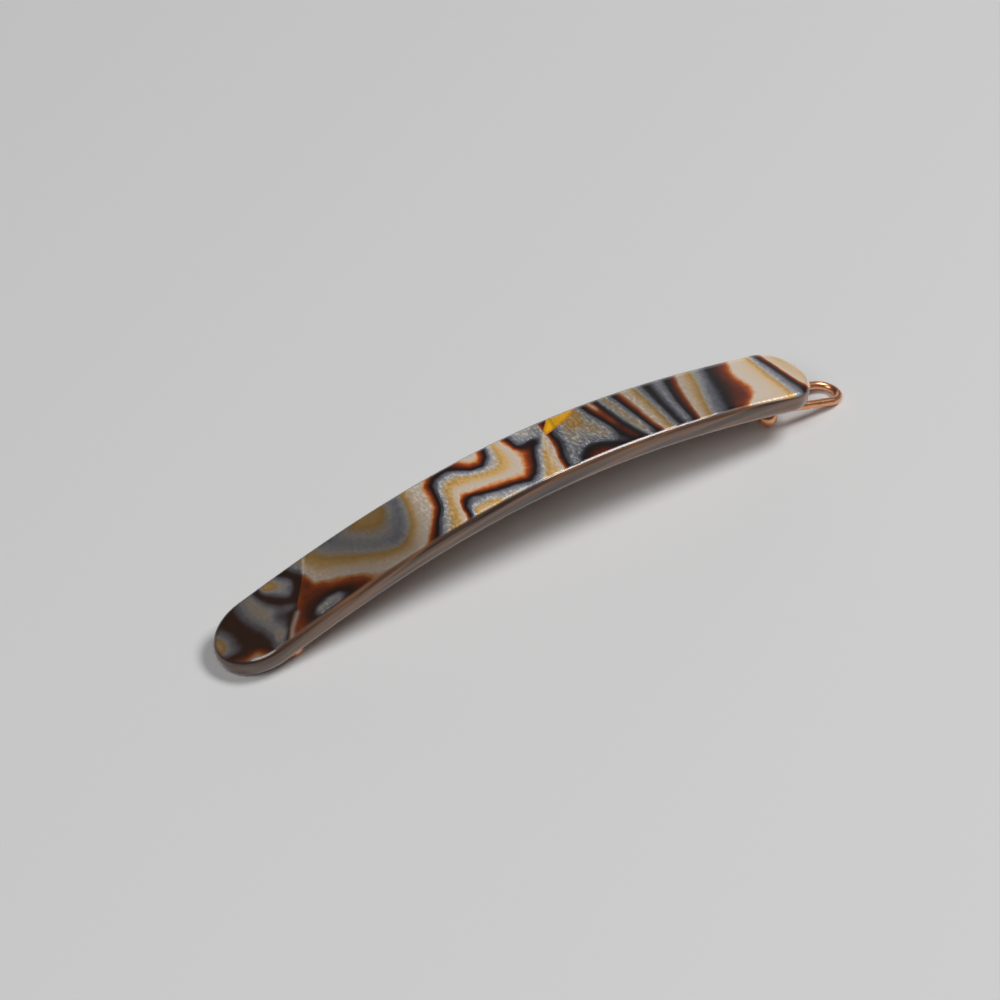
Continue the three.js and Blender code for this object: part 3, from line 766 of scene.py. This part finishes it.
class Nodes:
    """Small helper to build one material's node tree."""

    def __init__(self, name):
        self.material = bpy.data.materials.new(name)
        self.material.use_nodes = True
        self.tree = self.material.node_tree
        self.shader = self.tree.nodes["Principled BSDF"]

    def node(self, kind, **settings):
        node = self.tree.nodes.new(kind)
        for key, value in settings.items():
            setattr(node, key, value)
        return node

    def link(self, source, target):
        self.tree.links.new(source, target)

    def attribute(self, name, output="Fac"):
        return self.node("ShaderNodeAttribute", attribute_name=name).outputs[output]

    def math(self, operation, a, b=0.0, clamp=False):
        node = self.node("ShaderNodeMath", operation=operation, use_clamp=clamp)
        for socket, value in zip(node.inputs, (a, b)):
            if isinstance(value, (int, float)):
                socket.default_value = value
            else:
                self.link(value, socket)
        return node.outputs[0]

    def mix(self, kind, factor, a, b):
        node = self.node("ShaderNodeMix", data_type="RGBA", blend_type=kind)
        for name, value in (("Factor", factor), ("A", a), ("B", b)):
            socket = next(i for i in node.inputs if i.name == name and i.enabled and i.type != "VECTOR"
                          and (i.type == "RGBA" or name == "Factor"))
            if isinstance(value, (int, float, tuple)):
                socket.default_value = value
            else:
                self.link(value, socket)
        return next(o for o in node.outputs if o.type == "RGBA")

    def ramp(self, factor, stops):
        node = self.node("ShaderNodeValToRGB")
        elements = node.color_ramp.elements
        elements[0].position, elements[0].color = stops[0]
        elements[1].position, elements[1].color = stops[-1]
        for place, colour in stops[1:-1]:
            elements.new(place).color = colour
        self.link(factor, node.inputs[0])
        return node.outputs[0]

    def noise(self, vector, scale, stretch=(1, 1, 1), detail=3.0, roughness=0.55):
        mapping = self.node("ShaderNodeMapping")
        mapping.inputs["Scale"].default_value = stretch
        self.link(vector, mapping.inputs["Vector"])
        noise = self.node("ShaderNodeTexNoise")
        noise.inputs["Scale"].default_value = scale
        noise.inputs["Detail"].default_value = detail
        noise.inputs["Roughness"].default_value = roughness
        self.link(mapping.outputs[0], noise.inputs["Vector"])
        return noise.outputs["Fac"]


MARBLE_CYCLE = [
    (0.00, linear(244, 228, 210)), (0.035, linear(216, 156, 104)), (0.075, linear(170, 78, 28)),
    (0.125, linear(116, 46, 19)), (0.19, linear(64, 28, 17)), (0.25, linear(30, 19, 17)),
    (0.295, linear(34, 28, 31)), (0.345, linear(74, 72, 80)), (0.41, linear(118, 118, 126)),
    (0.50, linear(172, 172, 178)), (0.59, linear(198, 190, 178)), (0.70, linear(204, 160, 88)),
    (0.79, linear(222, 180, 120)), (0.90, linear(242, 216, 186)), (1.00, linear(244, 228, 210)),
]

WALL_LAYERS = [
    (0.26, linear(38, 27, 22)), (0.38, linear(82, 56, 42)), (0.46, linear(104, 76, 58)),
    (0.52, linear(128, 88, 58)), (0.57, linear(88, 64, 50)), (0.64, linear(50, 38, 33)),
    (0.74, linear(108, 82, 66)),
]


def grey(value):
    return (value, value, value, 1)


BRIGHTEST = 0.95 # cap on the pattern's red and blue, before the haze, the amber and the glints
DARKEST = 0.05 # keeps the cap's division away from zero
GRAIN_AND_SPARKLE_DEPTH = 1.5 # how strongly the crinkles lighten and darken the pearl: its grain with painted sparkle

# How pearly the sheet is over the colour cycle. It sets how far the crinkles show and, times
# PEARL_METALLIC, how metallic the sheet is.
PEARL_CYCLE = [
    (0.0, grey(0.7)), (0.06, grey(0.1)), (0.36, grey(0.05)), (0.46, grey(1.0)), (0.6, grey(0.8)),
    (0.75, grey(0.45)), (1.0, grey(0.7)),
]
PEARL_METALLIC = 0.38
GRAIN_SCALE = 2.2
GRAIN_STRETCH = (1.0, 0.6, 1.0)
HAZE_COLOUR = linear(92, 62, 42)
GLINT_COLOUR = linear(236, 222, 200)
AMBER_DEPTHS = [(0.0, linear(214, 118, 10)), (0.55, linear(255, 190, 20))] # by millimetres in
AMBER_SHARPNESS = 6.0
WALL_BLEND = [(0.06, grey(0)), (0.34, grey(1))] # from the face's pattern to the wall's layers

# How fine and how strong the wander of the pattern's levels is.
WANDER_SCALE = 0.9
WANDER_AMOUNT = 0.08

# The wall's layers: how they rise and how they change along the bar, and how fine they are.
WALL_RISE = 0.08
WALL_STRETCH = 0.045
WALL_LAYER_SCALE = 0.6

PEARL_BUMP = 0.9
PEARL_BUMP_DEPTH = 0.28 * MM
PLAIN_RELIEF = 0.05
PEARL_RELIEF = 0.7 # how far the pearl stands up against the dark bands, by the height of its grain

# Brightness of the crinkled pearl over its grain: partly the pearl's own grain, partly painted sparkle
# where its crinkles catch light. PLAIN_GRAIN is the sheet's own brightness.
PLAIN_GRAIN = 0.25
SILVER_GRAIN_AND_SPARKLE = [(0.36, grey(0.0)), (0.47, grey(0.16)), (0.55, grey(0.40)), (0.64, grey(1.0))]


def marble_level(n):
    """The level of whichever region a place lies in, with a little wander."""
    level = n.attribute("level_hinge")
    for region, fault in (("level_middle", "past_hinge_fault"), ("level_loop", "past_middle_fault")):
        past = n.math("GREATER_THAN", n.attribute(fault), 0.0)
        step = n.math("MULTIPLY", n.math("SUBTRACT", n.attribute(region), level), past)
        level = n.math("ADD", level, step)
    flat = n.attribute("flat", "Vector")
    noise = n.noise(flat, WANDER_SCALE, (1, 1, 1), 4.0)
    wander = n.math("MULTIPLY", n.math("SUBTRACT", noise, 0.5), WANDER_AMOUNT)
    return n.math("FRACT", n.math("ADD", level, wander))


def wall_colour(n):
    """The sheet's layers on its cut edge, rising slowly towards the loop end."""
    parts = n.node("ShaderNodeSeparateXYZ")
    n.link(n.attribute("flat", "Vector"), parts.inputs[0])
    rise = n.math("ADD", parts.outputs["Z"], n.math("MULTIPLY", parts.outputs["X"], WALL_RISE))
    place = n.node("ShaderNodeCombineXYZ")
    n.link(n.math("MULTIPLY", parts.outputs["X"], WALL_STRETCH), place.inputs["X"])
    n.link(parts.outputs["Y"], place.inputs["Y"])
    n.link(rise, place.inputs["Z"])
    layers = n.noise(place.outputs[0], WALL_LAYER_SCALE, (1, 0.1, 1), 2.0, 0.45)
    return n.ramp(layers, WALL_LAYERS)


def acetate_material():
    n = Nodes("marbled_acetate")
    flat = n.attribute("flat", "Vector")
    level = marble_level(n)
    colour = n.ramp(level, MARBLE_CYCLE)
    pearl = n.ramp(level, PEARL_CYCLE)
    grain = n.noise(flat, GRAIN_SCALE, GRAIN_STRETCH, 3.0, 0.6)
    rough_pearl = n.math("MULTIPLY", pearl, n.attribute("crinkle"))
    # The crinkles lighten and darken the pearl: its own grain, with painted sparkle on the bright crinkles.
    lift = n.math("SUBTRACT", n.ramp(grain, SILVER_GRAIN_AND_SPARKLE), PLAIN_GRAIN)
    grain_and_painted_sparkle = n.math("MULTIPLY", lift, GRAIN_AND_SPARKLE_DEPTH)
    shimmer = n.math("ADD", n.math("MULTIPLY", grain_and_painted_sparkle, rough_pearl), 1.0)
    # The tone attribute carries painted light along the bar: one lighting's fall-off and sheen.
    tone_and_painted_light = n.math("MULTIPLY", n.attribute("tone_and_painted_light"), shimmer)
    channels = n.node("ShaderNodeSeparateXYZ")
    n.link(colour, channels.inputs[0])
    strongest = n.math("MAXIMUM", channels.outputs["X"], channels.outputs["Z"])
    strongest = n.math("MAXIMUM", strongest, DARKEST)
    tone_and_painted_light = n.math("MINIMUM", tone_and_painted_light, n.math("DIVIDE", BRIGHTEST, strongest))
    scaled = n.node("ShaderNodeVectorMath", operation="SCALE")
    n.link(colour, scaled.inputs[0])
    n.link(tone_and_painted_light, scaled.inputs["Scale"])
    in_amber = n.math("MULTIPLY", n.attribute("amber"), AMBER_SHARPNESS, clamp=True)
    amber_depth = n.ramp(n.attribute("amber"), AMBER_DEPTHS)
    hazed = n.mix("MIX", n.attribute("haze"), scaled.outputs[0], HAZE_COLOUR)
    amber = n.mix("MIX", in_amber, hazed, amber_depth)
    # painted highlights along the faults and the scratch
    bright = n.mix("MIX", n.attribute("glint"), amber, GLINT_COLOUR)
    on_wall = n.ramp(n.attribute("wall"), WALL_BLEND)
    n.link(n.mix("MIX", on_wall, bright, wall_colour(n)), n.shader.inputs["Base Color"])
    bump = n.node("ShaderNodeBump")
    bump.inputs["Strength"].default_value = PEARL_BUMP
    bump.inputs["Distance"].default_value = PEARL_BUMP_DEPTH
    height = n.math("ADD", grain, PEARL_RELIEF)
    relief = n.math("MULTIPLY", height, n.math("ADD", rough_pearl, PLAIN_RELIEF))
    n.link(n.math("MULTIPLY", relief, n.math("SUBTRACT", 1.0, on_wall)), bump.inputs["Height"])
    n.link(bump.outputs[0], n.shader.inputs["Normal"])
    metallic = n.math("MULTIPLY", pearl, PEARL_METALLIC)
    shiny = n.math("MULTIPLY", n.math("SUBTRACT", 1.0, on_wall), metallic)
    n.link(shiny, n.shader.inputs["Metallic"])
    n.shader.inputs["Roughness"].default_value = 0.3
    n.shader.inputs["IOR"].default_value = 1.48
    n.shader.inputs["Coat Weight"].default_value = 1.0
    n.shader.inputs["Coat Roughness"].default_value = 0.05
    n.shader.inputs["Coat IOR"].default_value = 1.48
    return n.material


def metal_material(name, roughness, scale):
    n = Nodes(name)
    place = n.node("ShaderNodeTexCoord").outputs["Object"]
    cloud = n.noise(place, scale, detail=2.0)
    colour = n.ramp(cloud, [(0.3, linear(232, 160, 116)), (0.7, linear(250, 190, 146))])
    n.link(colour, n.shader.inputs["Base Color"])
    n.shader.inputs["Metallic"].default_value = 1.0
    rough = n.math("ADD", n.math("MULTIPLY", n.noise(place, scale * 3, detail=3.0), 0.14), roughness - 0.05)
    n.link(rough, n.shader.inputs["Roughness"])
    bump = n.node("ShaderNodeBump")
    bump.inputs["Strength"].default_value = 0.12
    bump.inputs["Distance"].default_value = 0.00003
    n.link(n.noise(place, scale * 2, detail=2.0), bump.inputs["Height"])
    n.link(bump.outputs[0], n.shader.inputs["Normal"])
    return n.material


# ---- Stage -------------------------------------------------------------------------------------------

CAMERA_AZIMUTH = math.radians(-34.16)
CAMERA_ELEVATION = math.radians(40.7)
CAMERA_DISTANCE = 0.588
CAMERA_LENS = 154.3
AIM_RIGHT = -0.00224 # from the top of the arch to the middle of the picture
AIM_UP = -0.00521


def make_camera(crest):
    sa, ca = math.sin(CAMERA_AZIMUTH), math.cos(CAMERA_AZIMUTH)
    se, ce = math.sin(CAMERA_ELEVATION), math.cos(CAMERA_ELEVATION)
    back = Vector((sa * ce, -ca * ce, se))
    right = Vector((ca, sa, 0))
    up = back.cross(right)
    data = bpy.data.cameras.new("camera")
    data.lens = CAMERA_LENS
    data.sensor_width = 36
    data.clip_start = 0.01
    data.clip_end = 20
    camera = bpy.data.objects.new("camera", data)
    camera.location = crest + right * AIM_RIGHT + up * AIM_UP + back * CAMERA_DISTANCE
    camera.rotation_euler = Matrix((right, up, back)).transposed().to_euler()
    bpy.context.scene.collection.objects.link(camera)
    bpy.context.scene.camera = camera


def make_floor():
    size = 3.0
    mesh = bpy.data.meshes.new("floor")
    corners = [(-size, -size, 0), (size, -size, 0), (size, size, 0), (-size, size, 0)]
    mesh.from_pydata(corners, [], [(0, 1, 2, 3)])
    floor = bpy.data.objects.new("floor", mesh)
    bpy.context.scene.collection.objects.link(floor)
    n = Nodes("pale_floor")
    n.shader.inputs["Base Color"].default_value = grey(0.8)
    n.shader.inputs["Roughness"].default_value = 0.9
    n.shader.inputs["Specular IOR Level"].default_value = 0.2
    mesh.materials.append(n.material)


LIGHT_DISTANCE = 1.2
AMBIENT = 0.035

# Name, direction, size in metres and power in watts.
LIGHTS = [
    ("loop_side_softbox", (0.65, -0.25, 1), 0.49, 7.7),
    ("hinge_side_softbox", (-0.65, -0.5, 1), 0.69, 5.2),
    ("low_back_card", (0.55, 0.83, 0.14), 0.9, 1.1),
]


def area_light(name, towards, size, power):
    """A round softbox that looks at the barrette from one direction."""
    data = bpy.data.lights.new(name, "AREA")
    data.shape = "DISK"
    data.size = size
    data.energy = power
    lamp = bpy.data.objects.new(name, data)
    lamp.location = Vector(towards).normalized() * LIGHT_DISTANCE
    lamp.rotation_euler = Vector(towards).to_track_quat("Z", "Y").to_euler()
    bpy.context.scene.collection.objects.link(lamp)


def make_lights():
    for name, towards, size, power in LIGHTS:
        area_light(name, towards, size, power)
    world = bpy.data.worlds.new("studio")
    world.use_nodes = True
    world.node_tree.nodes["Background"].inputs["Color"].default_value = grey(1)
    world.node_tree.nodes["Background"].inputs["Strength"].default_value = AMBIENT
    bpy.context.scene.world = world
    bpy.context.scene.view_settings.view_transform = "Standard"


# ---- Build -------------------------------------------------------------------------------------------

to_row = rest_matrix()
make_bar(to_row)
make_wire(to_row)
for rivet_index in range(len(RIVET_PLACES)):
    make_rivet(rivet_index, to_row)
make_stud(to_row)
make_bracket(to_row)

make_floor()
make_lights()
make_camera(to_row @ Vector((0, 0, 0)) * MM)
